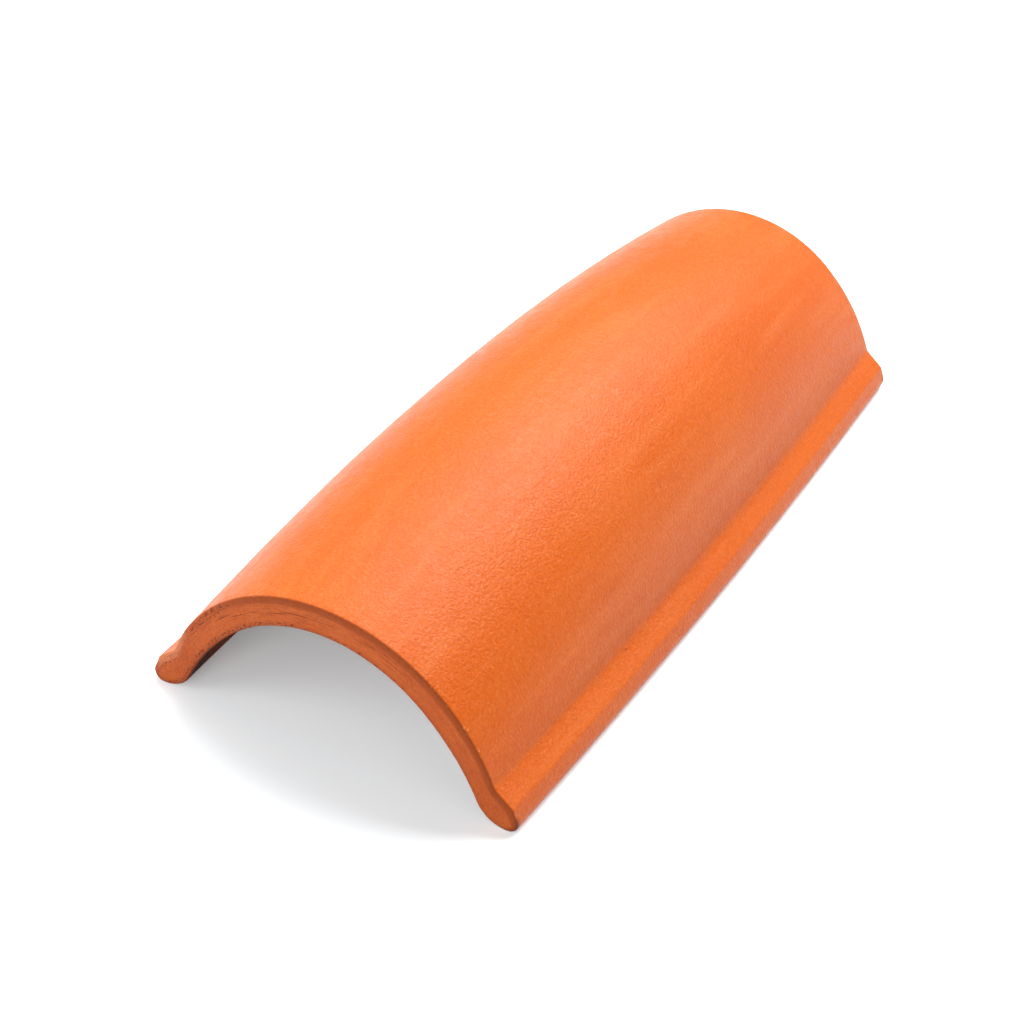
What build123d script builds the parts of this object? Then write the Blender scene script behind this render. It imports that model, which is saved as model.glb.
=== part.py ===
from build123d import *
import os

# A curved clay cover tile: one pressed and fired piece, an arch on two flanged feet.
# +X is across the tile, +Y along it from the lower end to the upper end, and +Z is up.
# The origin is on the floor, under the middle of the tile. Sizes are in millimetres.

# Length of the tile, and how thick the clay is at the crown
tile_length = 400.0
wall = 14.6

# The lower end, which is nearer the eaves: width over the feet's square corners, height, and the
# crown's radius
lower_width = 191.0
lower_height = 77.6
lower_crown_radius = 84.5

# The upper end, which the next tile up the roof covers
upper_width = 179.0
upper_height = 79.5
upper_crown_radius = 72.0

# How far the tile swells at mid-length, past straight lines drawn from end to end
crown_camber = 17.4
side_camber = 3.7

# Half the angle that the crown's arc spans, before the flatter legs run on from it
crown_half_angle = 42.0

# The flange along each foot: its crease and its rim, in from the foot's edge and up from the floor
crease_inset = 13.8
crease_height = 19.5
rim_inset = 4.8
rim_height = 12.2

# Width of each foot before its corners are rounded
foot_width = 18.5

# Radii along the tile
crease_radius = 7.0
rim_radius = 3.0
outer_foot_radius = 5.0
inner_foot_radius = 10.0

# Bevel on the edges of both end faces
end_bevel = 1.8

# Places along the length where a section is drawn, and how deep the feet are cut to rest flat.
# Straight strips join the sections, and at this count they stray under 0.1 mm from the swell.
station_count = 17
foot_trim = 0.3


def along(share, lower, upper, camber=0.0):
    """A size at a share of the length: straight from end to end, with all its camber at the middle."""
    return lower + (upper - lower) * share + camber * 4 * share * (1 - share)


def rounded(sketch, x, z, radius):
    """Round the corner of a section at x and z, and its mirror image at -x."""
    for side in (-1, 1):
        corner = sketch.vertices().sort_by_distance((side * x, z, 0))[0]
        fillet(corner, radius)


def section_at(share):
    """The tile's section at a share of the length, as a face that stands across the tile."""
    half_width = along(share, lower_width, upper_width, 2 * side_camber) / 2
    height = along(share, lower_height, upper_height, crown_camber)
    crown_radius = along(share, lower_crown_radius, upper_crown_radius)
    crown_centre = (0, height - crown_radius)
    crease = (half_width - crease_inset, crease_height)
    rim = (half_width - rim_inset, rim_height)
    outer_foot = (half_width, -foot_trim)
    inner_foot = (half_width - foot_width, -foot_trim)
    station = Plane.XZ.offset(tile_length / 2 - tile_length * share)
    with BuildSketch(station) as section:
        with BuildLine():
            outer = CenterArc(crown_centre, crown_radius, 90 - crown_half_angle, crown_half_angle)
            TangentArc(outer @ 0, crease, tangent=(outer % 0) * -1)
            Polyline(crease, rim, outer_foot, inner_foot)
            inner = CenterArc(crown_centre, crown_radius - wall, 90 - crown_half_angle, crown_half_angle)
            TangentArc(inner @ 0, inner_foot, tangent=(inner % 0) * -1)
            Line(inner @ 1, outer @ 1)
        make_face()
        mirror(about=Plane.YZ)
        rounded(section, *crease, crease_radius)
        rounded(section, *rim, rim_radius)
        rounded(section, *outer_foot, outer_foot_radius)
        rounded(section, *inner_foot, inner_foot_radius)
    return section.sketch


# The clay body, from section to section, with its feet cut flat on the floor
with BuildPart() as roof_tile:
    for station in range(station_count):
        add(section_at(station / (station_count - 1)))
    loft(ruled=True)
    split(bisect_by=Plane.XY, keep=Keep.TOP)
    end_faces = roof_tile.faces().filter_by(Plane.XZ)
    chamfer(end_faces.edges(), end_bevel)

roof_tile.part.label = "roof_tile"
os.makedirs("parts", exist_ok=True)
export_step(roof_tile.part, "parts/roof_tile.step")
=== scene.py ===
import math

import bmesh
import bpy
from bpy.props import FloatProperty, FloatVectorProperty, PointerProperty
from mathutils import Matrix, Vector, noise


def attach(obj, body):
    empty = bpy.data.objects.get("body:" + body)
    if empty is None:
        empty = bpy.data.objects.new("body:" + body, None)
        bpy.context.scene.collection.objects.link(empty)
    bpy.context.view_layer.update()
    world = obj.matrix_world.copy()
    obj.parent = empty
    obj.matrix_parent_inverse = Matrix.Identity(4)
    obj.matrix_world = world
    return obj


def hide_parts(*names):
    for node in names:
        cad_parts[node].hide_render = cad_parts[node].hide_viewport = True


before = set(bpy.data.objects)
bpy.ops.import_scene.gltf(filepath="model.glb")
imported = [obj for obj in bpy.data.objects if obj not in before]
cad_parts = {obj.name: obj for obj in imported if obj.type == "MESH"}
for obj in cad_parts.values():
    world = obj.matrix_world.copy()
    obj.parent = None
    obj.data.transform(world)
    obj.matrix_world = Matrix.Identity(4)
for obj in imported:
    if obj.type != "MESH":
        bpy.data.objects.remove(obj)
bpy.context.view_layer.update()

bl_info = {
    "name": "Clay Cover Tile",
    "version": (1, 0, 0),
    "blender": (4, 5, 0),
    "location": "3D View > Sidebar > Clay Tile",
    "description": "Builds a curved clay roof tile with its fired finish, and a plain studio round it",
    "category": "Add Mesh",
}

MM = 0.001

# How many edges each stroke of a section has. The inner foot has as many as the crease, the rim and the outer
# foot together, so that the inner side of a section matches the outer side edge for edge.
CROWN_STEPS = 34
LEG_STEPS = 30
CREASE_STEPS = 6
SLOPE_STEPS = 6
RIM_STEPS = 4
SIDE_STEPS = 5
OUTER_FOOT_STEPS = 5
INNER_FOOT_STEPS = CREASE_STEPS + SLOPE_STEPS + RIM_STEPS + SIDE_STEPS + OUTER_FOOT_STEPS

# How many panels run between the sections along the tile, and how many round each end
PANELS = 40
END_STEPS = 4

# How far the outer face runs from the crown round to the foot, in mm
HALF_ROUND = 136

# Where the patterns of the lower and the upper end are read, in mm, so that the two ends differ
LOWER_PATTERN = 30
UPPER_PATTERN = 90

# How near to an end a vertex is on its flat face, and how near it is on the edges round that face, in mm
ON_FACE = 0.05
NEAR_END = 3

# How far the lower end's left edge is rubbed back, in mm
RUBBED_BACK = 1.1

# The bands of the finish and of the painted shade follow, each as where it starts and where it is full, in mm
# but for the last group.
# Round the section from the crown, where the left is negative
# How strong the painted shade along the ends' edges is round the section
ARRIS_SHADE_SPAN = (-70, -25)
RUBBED = (-74, -92)
RUBBED_STOPS = (-134, -122)
FEET = (124, 131)
OUTER_PITS = (-25, -60)
INNER_PITS = (70, 20)

# Round the section from the middle of the layered stretch, which is this far from the crown
LAYERS_MIDDLE = -18
LAYERS = (75, 30)

# Along the tile from an end
OUTER_CUT = (1.25, 0.3)
INNER_CUT = (3.5, 1.3)
# Painted shade on the skin along an end's edge
SKIN_ARRIS_SHADE = (1.25, 0.4)
SKIN_RUBBED = (1.3, 0.6)
SKIN_DRAWN_BACK = (3, 0)
SKIN_FLAKED = (0.2, 0.9)
# Painted shade on the inner face and the feet beside an end
EDGE_SHADE_REACH = (-0.1, 0.35)

# Across an end's flat face from its outer edge
# Painted shade on the face along its outer edge
FACE_ARRIS_SHADE = (4.4, 2.2)
FACE_RUBBED = (3.8, 2.2)
FACE_DRAWN_BACK = (5.5, 2.0)

# Through the wall, as shares of its thickness: from the outer edge, and from about the wall's middle
OUTER_PART = (0.45, 0.05)
INNER_PART = (0.75, 0.97)
WALL_MIDDLE = 0.45
MIDDLE_PART = (0.38, 0.1)

# Where pale flakes are knocked off the lower end's outer edge: mm round the section from the crown, and how
# far each patch of them reaches
FLAKES = ((-31, 4), (48, 5), (56, 4), (68, 4), (79, 5))

# The marks that the clay's material reads at each vertex, as shares from 0 to 1. arris_shade and edge_shade
# mark painted shade, and the material also darkens the porous pits as painted shade
MARKS = ("cut", "arris_shade", "worn", "edge_shade", "porous", "layered", "flaked")

# The camera: where it stands in metres, its lens in mm, and how it is turned in radians
CAMERA_PLACE = (0.40566, -0.76630, 0.63287)
CAMERA_LENS = 76.95
CAMERA_YAW = -0.51387
CAMERA_PITCH = 0.62781
CAMERA_ROLL = 0.03295

# The soft lights: name, direction from the tile, distance and width in metres, and brightness
SOFT_LIGHTS = (
    ("key low", (0.20, 0.60, 0.79), 1.8, 1.1, 9.2),
    ("key high", (-0.12, 0.45, 0.88), 1.8, 1.1, 10.1),
    ("front low", (0.1, -0.95, 0.28), 2.2, 1.2, 6.0),
    ("front left low", (-0.6, -0.72, 0.3), 2.0, 1.2, 3.0),
    ("front", (0.2, -0.85, 0.5), 2.2, 1.2, 2.0),
    ("front left", (-0.55, -0.6, 0.58), 2.0, 1.2, 2.0),
    ("front right", (0.7, -0.4, 0.6), 2.0, 1.2, 1.0),
    ("left", (-0.85, 0.1, 0.5), 1.9, 1.2, 2.3),
    ("back left", (-0.6, 0.55, 0.58), 1.9, 1.0, 1.3),
)

# The point that the soft lights shine on, about half way up the tile, and half the floor's width, in metres
LIT_POINT = Vector((0, 0, 0.05))
FLOOR_REACH = 6


def linear(hex_colour):
    """An sRGB hex colour such as "d2691e" as linear red, green and blue."""
    parts = [int(hex_colour[i:i + 2], 16) / 255 for i in (0, 2, 4)]
    return [p / 12.92 if p <= 0.04045 else ((p + 0.055) / 1.055) ** 2.4 for p in parts]


def size(name, description, millimetres):
    """A length that the user may change, kept in metres."""
    return FloatProperty(
        name=name, description=description, default=millimetres * MM, unit="LENGTH", precision=4
    )


def colour(name, description, hex_colour):
    """A colour that the user may change, kept as linear red, green and blue."""
    return FloatVectorProperty(
        name=name, description=description, default=linear(hex_colour), size=3, min=0, max=1, subtype="COLOR"
    )


class TileSizes(bpy.types.PropertyGroup):
    """The tile's sizes, which are the frame's but for the inner foot radius and the end radius."""

    length: size("Length", "From the lower end to the upper end", 400)
    wall: size("Wall", "How thick the clay is at the crown", 14.6)
    lower_width: size("Lower width", "Across the feet's square corners at the lower end", 191)
    lower_height: size("Lower height", "Height of the crown at the lower end", 77.6)
    lower_crown: size("Lower crown radius", "Radius of the crown's arc at the lower end", 84.5)
    upper_width: size("Upper width", "Across the feet's square corners at the upper end", 179)
    upper_height: size("Upper height", "Height of the crown at the upper end", 79.5)
    upper_crown: size("Upper crown radius", "Radius of the crown's arc at the upper end", 72)
    crown_camber: size("Crown camber", "How far the crown swells at mid-length", 17.4)
    side_camber: size("Side camber", "How far each foot swells outwards at mid-length", 3.7)
    crown_angle: FloatProperty(
        name="Crown half angle", description="Half the angle that the crown's arc spans",
        default=math.radians(42), subtype="ANGLE",
    )
    crease_inset: size("Crease inset", "From the foot's edge in to the flange's crease", 13.8)
    crease_height: size("Crease height", "Height of the flange's crease", 19.5)
    rim_inset: size("Rim inset", "From the foot's edge in to the flange's rim", 4.8)
    rim_height: size("Rim height", "Height of the flange's rim", 12.2)
    foot_width: size("Foot width", "Width of each foot before its corners are rounded", 18.5)
    crease_radius: size("Crease radius", "Radius in the flange's crease", 7)
    rim_radius: size("Rim radius", "Radius on the flange's rim", 3)
    outer_foot_radius: size("Outer foot radius", "Radius outside each foot", 5)
    inner_foot_radius: size("Inner foot radius", "Radius inside each foot", 15.5)
    foot_trim: size("Foot trim", "How deep the feet are cut to rest flat", 0.3)
    end_radius: size("End radius", "Rounding of the edges of both ends", 1.3)


class ClayColours(bpy.types.PropertyGroup):
    """The fired clay's colours, and the painted shade on its ends' edges, in its pits and inside the arch."""

    pressed: colour("Pressed face", "The smooth orange of the outer face", "be5815")
    pressed_deep: colour("Deeper patches", "Redder patches of the outer face", "b95011")
    pressed_dark: colour("Grain", "The dark grains of the outer face", "983708")
    pressed_pale: colour("Flakes", "The pale clay where the skin is flaked or streaked", "dd8850")
    # The end faces' colours are the redder wire-cut clay, and in how much darker they are than the outer
    # face, partly painted shade
    cut: colour("Cut end", "The red-brown of the end faces", "9a4718")
    cut_deep: colour("Cut end, deeper patches", "Redder patches of the end faces", "903c13")
    # Painted shade along the edges of both ends, in a shaded brown
    arris_shade: colour("Arris", "The scorched brown along the edges of the ends", "7a3205")
    # Dark clay for grains and the seams between layers, also laid as painted shade in the pits and along the
    # ends' inner edges and the feet
    worn: colour("Worn edge", "The paler clay where the lower end's left edge is rubbed", "b8714c")
    # The inside's near-black brown is painted shade in the arch
    dark_clay_and_shade: colour("Hollows", "The dark clay in the hollows and between the layers", "5c2206")
    inside: colour("Inside", "The dull inner face", "341407")


class StudioSettings(bpy.types.PropertyGroup):
    """The floor and the lights."""

    floor: colour("Floor", "The plain pale floor", "e1e5e7")
    floor_glow: FloatProperty(
        name="Floor glow", description="Light that the lit-through floor gives off", default=0.2
    )
    brightness: FloatProperty(name="Brightness", description="Brightness of all the soft lights", default=1)


def along(share, lower, upper, camber=0.0):
    """A size at a share of the length: straight from end to end, with all its camber at the middle."""
    return lower + (upper - lower) * share + camber * 4 * share * (1 - share)


def tangent_centre(start, normal, end):
    """Centre of the arc that leaves start at right angles to normal and passes through end."""
    chord = end - start
    return start + normal * chord.length_squared / (2 * chord.dot(normal))


def corner_of_lines(before, corner, after, radius):
    """A rounded corner between two straight lines: where it starts, its centre, and where it ends."""
    entry, leave = (corner - before).normalized(), (after - corner).normalized()
    half_turn = entry.angle(leave) / 2
    reach = radius * math.tan(half_turn)
    centre = corner + (leave - entry).normalized() * radius / math.cos(half_turn)
    return corner - entry * reach, centre, corner + leave * reach


def corner_of_arc(arc_centre, arc_radius, inner, outer, radius):
    """A rounded corner from an arc to the line from inner to outer: its start, its centre and its end."""
    way = (outer - inner).normalized()
    up = Vector((-way.z, 0, way.x))
    across = inner + up * radius - arc_centre
    from_arc = arc_radius + radius
    reach = math.sqrt(across.dot(way) ** 2 - across.length_squared + from_arc ** 2) - across.dot(way)
    centre = arc_centre + across + way * reach
    return arc_centre + (centre - arc_centre) * arc_radius / from_arc, centre, centre - up * radius


def arc(bm, vert, centre, end, steps):
    """Draw an arc from vert round centre to end, and return its last vertex."""
    start, stop = vert.co - centre, end - centre
    angle = math.atan2(stop.x, stop.z) - math.atan2(start.x, start.z)
    angle = (angle + math.pi) % (2 * math.pi) - math.pi
    made = bmesh.ops.spin(
        bm, geom=[vert], cent=centre, axis=(0, 1, 0), dvec=(0, 0, 0), angle=angle, steps=steps,
        use_merge=False, use_normal_flip=False, use_duplicate=False,
    )
    return next(part for part in made["geom_last"] if isinstance(part, bmesh.types.BMVert))


def line(bm, vert, end, steps):
    """Draw a straight line from vert to end in equal steps, and return its last vertex."""
    step = (end - vert.co) / steps
    for _ in range(steps):
        vert = bmesh.ops.extrude_vert_indiv(bm, verts=[vert])["verts"][0]
        bmesh.ops.translate(bm, verts=[vert], vec=step)
    return vert


def half_outline(sizes, share):
    """The right half of the tile's section at a share of its length, which starts on top of the crown.

    Returns that point, and the strokes of the outer side, the foot and the inner side. A stroke is the centre
    of an arc or None for a straight line, where it ends, and how many edges it has.
    """
    y = sizes.length * (share - 0.5)
    half_width = along(share, sizes.lower_width, sizes.upper_width, 2 * sizes.side_camber) / 2
    height = along(share, sizes.lower_height, sizes.upper_height, sizes.crown_camber)
    crown_radius = along(share, sizes.lower_crown, sizes.upper_crown)
    crown_centre = Vector((0, y, height - crown_radius))
    spoke = Vector((math.sin(sizes.crown_angle), 0, math.cos(sizes.crown_angle)))
    shoulder = crown_centre + spoke * crown_radius
    inner_shoulder = shoulder - spoke * sizes.wall
    crease = Vector((half_width - sizes.crease_inset, y, sizes.crease_height))
    rim = Vector((half_width - sizes.rim_inset, y, sizes.rim_height))
    outer_foot = Vector((half_width, y, -sizes.foot_trim))
    inner_foot = Vector((half_width - sizes.foot_width, y, -sizes.foot_trim))
    leg_centre = tangent_centre(shoulder, -spoke, crease)
    inner_leg_centre = tangent_centre(inner_shoulder, -spoke, inner_foot)
    leg_radius = (shoulder - leg_centre).length
    inner_leg_radius = (inner_shoulder - inner_leg_centre).length
    creased = corner_of_arc(leg_centre, leg_radius, crease, rim, sizes.crease_radius)
    rimmed = corner_of_lines(crease, rim, outer_foot, sizes.rim_radius)
    outer = corner_of_lines(rim, outer_foot, inner_foot, sizes.outer_foot_radius)
    inner = corner_of_arc(
        inner_leg_centre, inner_leg_radius, inner_foot, outer_foot, sizes.inner_foot_radius
    )
    outer_side = (
        (crown_centre, shoulder, CROWN_STEPS),
        (leg_centre, creased[0], LEG_STEPS),
        (creased[1], creased[2], CREASE_STEPS),
        (None, rimmed[0], SLOPE_STEPS),
        (rimmed[1], rimmed[2], RIM_STEPS),
        (None, outer[0], SIDE_STEPS),
        (outer[1], outer[2], OUTER_FOOT_STEPS),
    )
    foot = ((None, inner[2], 1),)
    inner_side = (
        (inner[1], inner[0], INNER_FOOT_STEPS),
        (inner_leg_centre, inner_shoulder, LEG_STEPS),
        (crown_centre, Vector((0, y, height - sizes.wall)), CROWN_STEPS),
    )
    return Vector((0, y, height)), (outer_side, foot, inner_side)


def half_section(bm, sizes, share):
    """Draw the right half of a section, and return the edges of its outer side, its foot and its inner side.

    Each vertex notes its reach, from 0 at the crown to 1 at the foot, and its depth, 0 outside and 1 inside.
    """
    start, sides = half_outline(sizes, share)
    drawn, first = set(bm.edges), len(bm.verts)
    vert = bmesh.ops.create_vert(bm, co=start)["vert"][0]
    edges = []
    for side in sides:
        for centre, end, steps in side:
            vert = line(bm, vert, end, steps) if centre is None else arc(bm, vert, centre, end, steps)
        edges.append(set(bm.edges) - drawn)
        drawn |= edges[-1]

    reach, depth = bm.verts.layers.float["reach"], bm.verts.layers.float["depth"]
    bm.verts.ensure_lookup_table()
    steps = len(edges[0])
    for i, vert in enumerate(bm.verts[first:]):
        vert[reach] = min(i, 2 * steps + 1 - i) / steps
        vert[depth] = float(i > steps)
    return edges


def bridge(bm, edges):
    """Join two rows of edges with faces."""
    bmesh.ops.bridge_loops(bm, edges=list(edges), use_pairs=False, use_cyclic=False, use_merge=False)


def runs_along(edge):
    """How far an edge runs along the tile."""
    return abs(edge.verts[0].co.y - edge.verts[1].co.y)


def stations(sizes):
    """Shares of the length where sections are drawn, which are close together where the ends are rounded."""
    turns = [math.pi / 2 * step / END_STEPS for step in range(END_STEPS + 1)]
    bends = [sizes.end_radius * (1 - math.cos(turn)) / sizes.length for turn in turns]
    return bends + [panel / PANELS for panel in range(1, PANELS)] + [1 - bend for bend in reversed(bends)]


def round_ends(bm, sizes):
    """Draw the sections in towards each end, so that the edges of both end faces are round."""
    radius = sizes.end_radius
    bm.normal_update()
    for vert in bm.verts:
        inside = radius - (sizes.length / 2 - abs(vert.co.y))
        if inside > 0:
            outwards = Vector((vert.normal.x, 0, vert.normal.z)).normalized()
            vert.co -= outwards * (radius - math.sqrt(max(radius ** 2 - inside ** 2, 0)))


def tile_body(sizes):
    """The tile's mesh: half sections joined from end to end, mirrored, rounded at the ends and cut finer."""
    bm = bmesh.new()
    for name in ("reach", "depth"):
        bm.verts.layers.float.new(name)
    sections = [half_section(bm, sizes, share) for share in stations(sizes)]
    for here, there in zip(sections, sections[1:]):
        bridge(bm, set().union(*here, *there))
    for outer_edges, _, inner_edges in (sections[0], sections[-1]):
        bridge(bm, outer_edges | inner_edges)
    everything = bm.verts[:] + bm.edges[:] + bm.faces[:]
    bmesh.ops.mirror(bm, geom=everything, matrix=Matrix(), merge_dist=0, axis="X")
    bmesh.ops.remove_doubles(bm, verts=bm.verts, dist=0.01 * MM)
    bmesh.ops.recalc_face_normals(bm, faces=bm.faces)
    round_ends(bm, sizes)

    # Long edges are cut finer: those across the wall, then those along the tile, then all on both end faces
    across = [edge for edge in bm.edges if edge.calc_length() > 5 * MM and runs_along(edge) < MM]
    bmesh.ops.subdivide_edges(bm, edges=across, cuts=9, use_grid_fill=True)
    lengthways = [edge for edge in bm.edges if runs_along(edge) > 5 * MM]
    bmesh.ops.subdivide_edges(bm, edges=lengthways, cuts=3, use_grid_fill=True)
    half = sizes.length / 2
    for end, cuts in ((-half, 2), (half, 1)):
        flat = [edge for edge in bm.edges if all(abs(v.co.y - end) < 0.02 * MM for v in edge.verts)]
        bmesh.ops.subdivide_edges(bm, edges=flat, cuts=cuts, use_grid_fill=True)

    # The feet are cut flat on the floor
    for vert in bm.verts:
        vert.co.z = max(vert.co.z, 0)
    bm.normal_update()
    return bm


def wave(place, millimetres, seed):
    """Smooth noise from -1 to 1 whose swells are this far apart."""
    return noise.noise(place * (1000 / millimetres) + Vector((seed * 17.3, seed * 5.1, seed * 11.7)))


def fade(value, nothing, full):
    """How far a value has gone from where there is nothing to where it is full, as 0 to 1."""
    share = min(max((value - nothing) / (full - nothing), 0), 1)
    return share * share * (3 - 2 * share)


def face_marks(around, deep, depth, shaded, rubbed, foot):
    """The marks on an end's flat face, whose outer edge is at depth 0 and whose inner edge is at depth 1."""
    outer, inner = fade(depth, *OUTER_PART), fade(depth, *INNER_PART)
    middle = fade(abs(depth - WALL_MIDDLE), *MIDDLE_PART)
    outer_pits = 0.85 * outer * fade(around, *OUTER_PITS)
    inner_pits = 0.75 * inner * fade(around, *INNER_PITS)
    return {
        # arris_shade is painted shade on the face along its outer edge
        "arris_shade": fade(deep, *FACE_ARRIS_SHADE) * shaded,
        "worn": 0.55 * rubbed * fade(deep, *FACE_RUBBED),
        # edge_shade is painted shade at the face's inner edge and, at the feet, at its outer edge
        "edge_shade": 0.25 * max(inner, foot * outer),
        "porous": max(outer_pits, inner_pits, 0.3 * middle),
        "layered": middle * (0.25 + 0.75 * fade(abs(around - LAYERS_MIDDLE), *LAYERS)),
    }


def skin_marks(around, end, shaded, rubbed, foot, lower):
    """The marks on the outer skin beside an end's face."""
    chipped = max(fade(abs(around - patch), width, 0) for patch, width in FLAKES) if lower else 0
    arris_shade = fade(end, *SKIN_ARRIS_SHADE)
    return {
        # arris_shade is painted shade on the skin along the end's edge
        "arris_shade": arris_shade * shaded,
        "worn": 0.55 * rubbed * fade(end, *SKIN_RUBBED),
        # edge_shade is painted shade on the skin of the feet beside the end
        "edge_shade": foot * fade(end, *EDGE_SHADE_REACH),
        "porous": 0.7 * arris_shade * fade(around, *OUTER_PITS) * (1 - rubbed),
        "flaked": fade(end, *SKIN_FLAKED) * chipped,
    }


def weather(bm, sizes):
    """Swell and cut the tile's skin as pressing and the wire left it, and note where its finish and its
    painted shade change.
    """
    reach, depth = bm.verts.layers.float["reach"], bm.verts.layers.float["depth"]
    spread = bm.verts.layers.float_vector.new("spread")
    layers = {name: bm.verts.layers.float.new(name) for name in MARKS}
    flat = (sizes.wall - 2 * sizes.end_radius) / MM
    places = []
    for vert in bm.verts:
        lower, outside = vert.co.y < 0, vert[depth] < 0.5
        end = (sizes.length / 2 - abs(vert.co.y)) / MM
        around = math.copysign(vert[reach] * HALF_ROUND, vert.co.x)
        deep = vert[depth] * flat + sizes.end_radius / MM
        where = Vector((around, deep, LOWER_PATTERN if lower else UPPER_PATTERN)) * MM
        vert[spread] = where
        # How strong the painted shade along the ends' edges is here: a fifth far round on the left, full from
        # 25 mm left of the crown round to the right
        shaded = 0.2 + 0.8 * fade(around, *ARRIS_SHADE_SPAN)
        rubbed = fade(around, *RUBBED) * fade(around, *RUBBED_STOPS) if lower else 0
        foot = fade(abs(around), *FEET)

        # Heights are in mm. The press leaves broad, low swells, and the wire leaves finer ones on the ends.
        swell = 0.16 * wave(vert.co, 55, 1) + 0.05 * wave(vert.co, 14, 2)
        drawn_back = 0.0
        marks = {"cut": fade(end, *(OUTER_CUT if outside else INNER_CUT))}
        if end < ON_FACE:
            swell = 0.10 * wave(where, 9, 3) + 0.07 * wave(where, 3, 4)
            drawn_back = RUBBED_BACK * rubbed * fade(deep, *FACE_DRAWN_BACK)
            marks.update(face_marks(around, deep, vert[depth], shaded, rubbed, foot))
        elif end < NEAR_END:
            swell -= 0.16 * max(wave(where, 4.5, 7) - 0.1, 0)
            if outside:
                drawn_back = RUBBED_BACK * rubbed * fade(end, *SKIN_DRAWN_BACK)
                marks.update(skin_marks(around, end, shaded, rubbed, foot, lower))
            else:
                # Painted shade on the inner face beside the ends
                marks["edge_shade"] = fade(end, *EDGE_SHADE_REACH)
        for name, share in marks.items():
            vert[layers[name]] = share
        places.append(vert.co + (vert.normal * swell + Vector((0, drawn_back, 0))) * MM)

    # The feet's flat bottoms stay on the floor
    for vert, place in zip(bm.verts, places):
        if vert.co.z > 0.5 * MM:
            vert.co = place
        vert.co.z = max(vert.co.z, 0)


def add_node(tree, kind, sockets=(), **settings):
    """Add a node to a material with its settings, and give each named socket its value or its link."""
    node = tree.nodes.new(kind)
    for name, value in settings.items():
        setattr(node, name, value)
    for name, value in sockets:
        socket = node.inputs[name]
        if isinstance(value, bpy.types.NodeSocket):
            tree.links.new(value, socket)
        elif socket.type == "RGBA":
            socket.default_value = (*value, 1)
        else:
            socket.default_value = value
    return node


def per_metre(millimetres):
    """The scale of a pattern whose features are this large."""
    return 1000 / millimetres


def grains(tree, place, millimetres, low, high, most, stretch=(1, 1, 1), detail=2.0):
    """Clay grains, patches or streaks of this size: none where their noise is low, most where it is high."""
    mapped = add_node(tree, "ShaderNodeMapping", [("Vector", place), ("Scale", stretch)]).outputs["Vector"]
    made = add_node(
        tree, "ShaderNodeTexNoise",
        [("Vector", mapped), ("Scale", per_metre(millimetres)), ("Detail", detail)],
    ).outputs["Fac"]
    return add_node(
        tree, "ShaderNodeMapRange", [("Value", made), ("From Min", low), ("From Max", high), ("To Max", most)]
    ).outputs["Result"]


def coloured(tree, tone, layers):
    """A tone with each colour laid over it in turn, as thick as its share."""
    # A colour mix has its share in socket 0, its colours in sockets 6 and 7, and its result in output 2
    for share, laid in layers:
        tone = add_node(
            tree, "ShaderNodeMix", [(0, share), (6, tone), (7, laid)], data_type="RGBA"
        ).outputs[2]
    return tone


def start_material(name):
    """An empty material of that name, with its node tree."""
    material = bpy.data.materials.new(name)
    material.use_nodes = True
    material.node_tree.nodes.clear()
    return material, material.node_tree


def surface(tree, sockets):
    """Give a material its surface, with those sockets."""
    shader = add_node(tree, "ShaderNodeBsdfPrincipled", sockets).outputs["BSDF"]
    add_node(tree, "ShaderNodeOutputMaterial", [("Surface", shader)])


def clay_surface(tree, tone, roughness, gloss, bumps):
    """Give a clay material its tone, its roughness, its gloss, and its bumps with their heights in mm."""
    normal = None
    for height, millimetres in bumps:
        sockets = [("Height", height), ("Distance", millimetres * MM)]
        if normal:
            sockets.append(("Normal", normal))
        normal = add_node(tree, "ShaderNodeBump", sockets).outputs["Normal"]
    surface(tree, [
        ("Base Color", tone), ("Roughness", roughness), ("IOR", 1.5), ("Specular IOR Level", gloss),
        ("Normal", normal),
    ])


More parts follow.
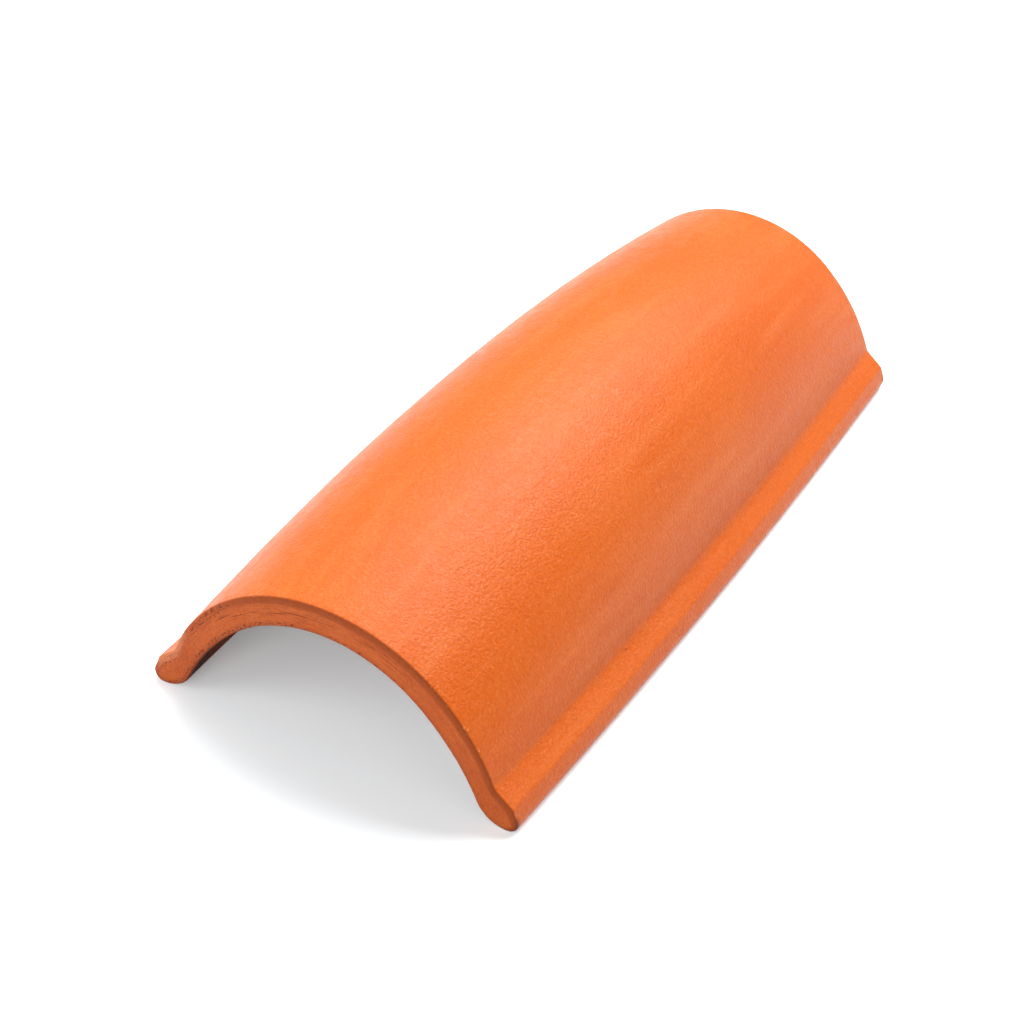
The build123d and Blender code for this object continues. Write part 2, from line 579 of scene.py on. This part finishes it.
def pressed_terracotta(c):
    """Terracotta smoothed by the press, and cut by the wire at its ends."""
    # Earthenware's clay is fine and shrinks onto its sand as it dries, so the pressed skin has a satin sheen
    # broken by an orange-peel grain. The wire drags the end faces open: duller, redder, with pits and layers.
    # Their darker tone is partly painted shade.
    material, tree = start_material("pressed and wire-cut terracotta")
    place = add_node(tree, "ShaderNodeTexCoord").outputs["Object"]
    spread = add_node(tree, "ShaderNodeAttribute", attribute_name="spread").outputs["Vector"]
    cut, arris_shade, worn, edge_shade, porous, layered, flaked = (
        add_node(tree, "ShaderNodeAttribute", attribute_name=name).outputs["Fac"] for name in MARKS
    )

    # Sand grains in roofing clay are under 1 mm. They are drawn 1.2 to 2.2 mm wide, so that they show in the
    # render. The skin also has broad redder patches, and streaks along the way that the clay was pressed.
    skin = coloured(tree, c.pressed, [
        (grains(tree, place, 70, 0.3, 0.7, 0.7), c.pressed_deep),
        (grains(tree, place, 9, 0.5, 0.75, 0.13, (1, 0.06, 1)), c.pressed_pale),
        (grains(tree, place, 1.6, 0.48, 0.72, 0.26), c.pressed_dark),
        (grains(tree, place, 1.4, 0.5, 0.72, 0.18, (1, 1, 1.1)), c.pressed_pale),
        (grains(tree, place, 2.2, 0.71, 0.76, 0.6), c.pressed_dark),
    ])

    # Pits, the seams between layers, flakes and the wire's drag marks, each only where its mark is
    pits, seams, flakes, dragged = (
        add_node(tree, "ShaderNodeMath", [(0, pattern), (1, mark)], operation="MULTIPLY").outputs[0]
        for pattern, mark in (
            (grains(tree, spread, 1.0, 0.5, 0.72, 1.0, (0.7, 1, 1)), porous),
            (grains(tree, spread, 0.7, 0.57, 0.7, 0.7, (0.05, 1, 1)), layered),
            (grains(tree, place, 1.2, 0.56, 0.64, 0.8), flaked),
            (grains(tree, spread, 1.5, 0.3, 0.7, 1.0, (0.6, 1, 1)), cut),
        )
    )
    pits = add_node(
        tree, "ShaderNodeMapRange", [("Value", pits), ("From Min", 0.22), ("From Max", 0.4)]
    ).outputs["Result"]
    # The pits are darkened as painted shade; the seams between layers are dark joints in the clay
    pit_shade_and_seams = add_node(tree, "ShaderNodeMath", [(0, pits), (1, seams)], operation="MAXIMUM").outputs[0]
    sunk = add_node(tree, "ShaderNodeMath", [(0, pit_shade_and_seams), (1, cut)], operation="MULTIPLY").outputs[0]
    # The end faces' darker tone is partly painted shade
    face = coloured(tree, c.cut, [
        (grains(tree, spread, 12, 0.35, 0.7, 0.8, (0.5, 1, 1)), c.cut_deep),
        (grains(tree, spread, 1.6, 0.5, 0.75, 0.25, (0.6, 1, 1)), c.dark_clay_and_shade),
        (grains(tree, spread, 2.0, 0.55, 0.75, 0.25), c.pressed),
        (pit_shade_and_seams, c.dark_clay_and_shade),
    ])
    # arris_shade lays painted shade along the edges of the ends, and edge_shade lays painted shade on the
    # inner face near the ends, at the face's inner edge and at the feet
    tone = coloured(tree, skin, [
        (cut, face), (arris_shade, c.arris_shade), (worn, c.worn), (edge_shade, c.dark_clay_and_shade), (flakes, c.pressed_pale),
    ])

    # Roughness is 0.34 on the skin, up to 0.12 more in patches, and 0.25 more where the wire cut
    patches = grains(tree, place, 6, 0.3, 0.7, 0.12, detail=3.0)
    added = add_node(
        tree, "ShaderNodeMath", [(0, cut), (1, 0.25), (2, patches)], operation="MULTIPLY_ADD"
    ).outputs[0]
    roughness = add_node(tree, "ShaderNodeMath", [(0, added), (1, 0.34)], operation="ADD").outputs[0]
    orange_peel = grains(tree, place, 4.0, 0.2, 0.8, 1.0)
    grain = grains(tree, place, 1.2, 0.3, 0.7, 1.0, detail=3.0)
    bumps = [(orange_peel, 0.12), (grain, 0.2), (dragged, 0.15), (sunk, -0.5)]
    clay_surface(tree, tone, roughness, 0.16, bumps)
    return material


def shaded_unsmoothed_terracotta(c):
    """Terracotta as the inside of the press leaves it, with painted shade in its dark tone."""
    # Nothing smooths the inside of the arch, so its sand stands out, and no light shines off it. Its dark
    # tone is painted shade in the arch. The sand is drawn about 2 mm wide, so that it shows in the render.
    material, tree = start_material("unsmoothed terracotta")
    place = add_node(tree, "ShaderNodeTexCoord").outputs["Object"]
    tone = coloured(tree, c.inside, [
        (grains(tree, place, 40, 0.3, 0.7, 0.6), c.cut_deep),
        (grains(tree, place, 2.0, 0.45, 0.72, 0.35), c.dark_clay_and_shade),
    ])
    sand = grains(tree, place, 1.8, 0.25, 0.75, 1.0, detail=3.0)
    clay_surface(tree, tone, 0.85, 0.1, [(sand, 0.4)])
    return material


def white_paper(settings):
    """Matt white paper, lit through from below."""
    # Paper's fibres scatter all light, so it has no shine, and some light comes through it
    material, tree = start_material("matt white paper")
    surface(tree, [
        ("Base Color", settings.floor), ("Roughness", 0.9), ("Specular IOR Level", 0.0),
        ("Emission Color", (1, 1, 1)), ("Emission Strength", settings.floor_glow),
    ])
    return material


def finished_object(scene, name, bm, materials):
    """Turn a finished bmesh into an object with those materials, in the scene."""
    mesh = bpy.data.meshes.new(name)
    bm.to_mesh(mesh)
    bm.free()
    for material in materials:
        mesh.materials.append(material)
    made = bpy.data.objects.new(name, mesh)
    scene.collection.objects.link(made)
    return made


class TileBody(bpy.types.Operator):
    """Make the tile's clay body, one piece with its fired finish"""

    bl_idname = "clay_tile.body"
    bl_label = "Clay Body"

    def execute(self, context):
        sizes, colours = context.scene.tile_sizes, context.scene.clay_colours
        bm = tile_body(sizes)
        depth = bm.verts.layers.float["depth"]
        for face in bm.faces:
            face.smooth = True
            inner = min(vert[depth] for vert in face.verts) > 0.5
            past_ends = abs(face.calc_center_median().y) >= sizes.length / 2 - sizes.end_radius
            face.material_index = int(inner and not past_ends)
        weather(bm, sizes)
        materials = pressed_terracotta(colours), shaded_unsmoothed_terracotta(colours)
        piece = finished_object(context.scene, "tile_body", bm, materials)
        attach(piece, "root")
        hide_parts("roof_tile")
        return {"FINISHED"}


def soft_light(scene, name, way, distance, width, brightness):
    """A square soft light of that width, which shines on the tile from that direction."""
    light = bpy.data.lights.new(name, "AREA")
    light.shape, light.size = "SQUARE", width
    # An area light is as bright as its power over pi and its area
    light.energy = brightness * math.pi * width * width
    lamp = bpy.data.objects.new(name, light)
    way = Vector(way).normalized()
    lamp.location = way * distance + LIT_POINT
    lamp.rotation_euler = way.to_track_quat("Z", "Y").to_euler()
    scene.collection.objects.link(lamp)


def dark_world(scene):
    """Surround the tile with nothing that gives light, so that only the soft lights and the floor do."""
    world = bpy.data.worlds.new("studio")
    world.use_nodes = True
    world.node_tree.nodes["Background"].inputs["Strength"].default_value = 0.0
    scene.world = world


def front_camera(scene):
    """A camera that looks down on the tile's lower end from the front right."""
    camera = bpy.data.cameras.new("camera")
    camera.sensor_width = 36
    camera.lens = CAMERA_LENS
    camera.clip_end = 30
    level = math.cos(CAMERA_PITCH)
    ahead = Vector((math.sin(CAMERA_YAW) * level, math.cos(CAMERA_YAW) * level, -math.sin(CAMERA_PITCH)))
    right = Vector((math.cos(CAMERA_YAW), -math.sin(CAMERA_YAW), 0))
    up = right.cross(ahead)
    rolled_right = right * math.cos(CAMERA_ROLL) + up * math.sin(CAMERA_ROLL)
    rolled_up = up * math.cos(CAMERA_ROLL) - right * math.sin(CAMERA_ROLL)
    axes = Matrix((rolled_right, rolled_up, -ahead)).transposed()
    viewer = bpy.data.objects.new("camera", camera)
    viewer.matrix_world = Matrix.Translation(CAMERA_PLACE) @ axes.to_4x4()
    scene.collection.objects.link(viewer)
    scene.camera = viewer


class Studio(bpy.types.Operator):
    """Make the floor, the lights and the camera"""

    bl_idname = "clay_tile.studio"
    bl_label = "Studio"

    def execute(self, context):
        scene, settings = context.scene, context.scene.studio_settings
        bm = bmesh.new()
        bmesh.ops.create_grid(bm, x_segments=1, y_segments=1, size=FLOOR_REACH)
        finished_object(scene, "floor", bm, [white_paper(settings)])
        dark_world(scene)
        for name, way, distance, width, brightness in SOFT_LIGHTS:
            soft_light(scene, name, way, distance, width, brightness * settings.brightness)
        front_camera(scene)
        scene.view_settings.view_transform = "Standard"
        return {"FINISHED"}


class ClayTilePanel(bpy.types.Panel):
    """Lists the pieces and the studio"""

    bl_idname = "CLAY_TILE_PT_panel"
    bl_label = "Clay Tile"
    bl_space_type = "VIEW_3D"
    bl_region_type = "UI"
    bl_category = "Clay Tile"

    def draw(self, context):
        for group in ("tile_sizes", "clay_colours", "studio_settings"):
            column = self.layout.column(heading=group.replace("_", " ").capitalize())
            for name in getattr(context.scene, group).bl_rna.properties.keys():
                if name not in ("rna_type", "name"):
                    column.prop(getattr(context.scene, group), name)
        self.layout.operator(TileBody.bl_idname)
        self.layout.operator(Studio.bl_idname)


CLASSES = (TileSizes, ClayColours, StudioSettings, TileBody, Studio, ClayTilePanel)


def register():
    for item in CLASSES:
        bpy.utils.register_class(item)
    bpy.types.Scene.tile_sizes = PointerProperty(type=TileSizes)
    bpy.types.Scene.clay_colours = PointerProperty(type=ClayColours)
    bpy.types.Scene.studio_settings = PointerProperty(type=StudioSettings)


def unregister():
    del bpy.types.Scene.studio_settings
    del bpy.types.Scene.clay_colours
    del bpy.types.Scene.tile_sizes
    for item in reversed(CLASSES):
        bpy.utils.unregister_class(item)


def main():
    register()
    bpy.ops.clay_tile.body()
    bpy.ops.clay_tile.studio()


if __name__ == "__main__":
    main()
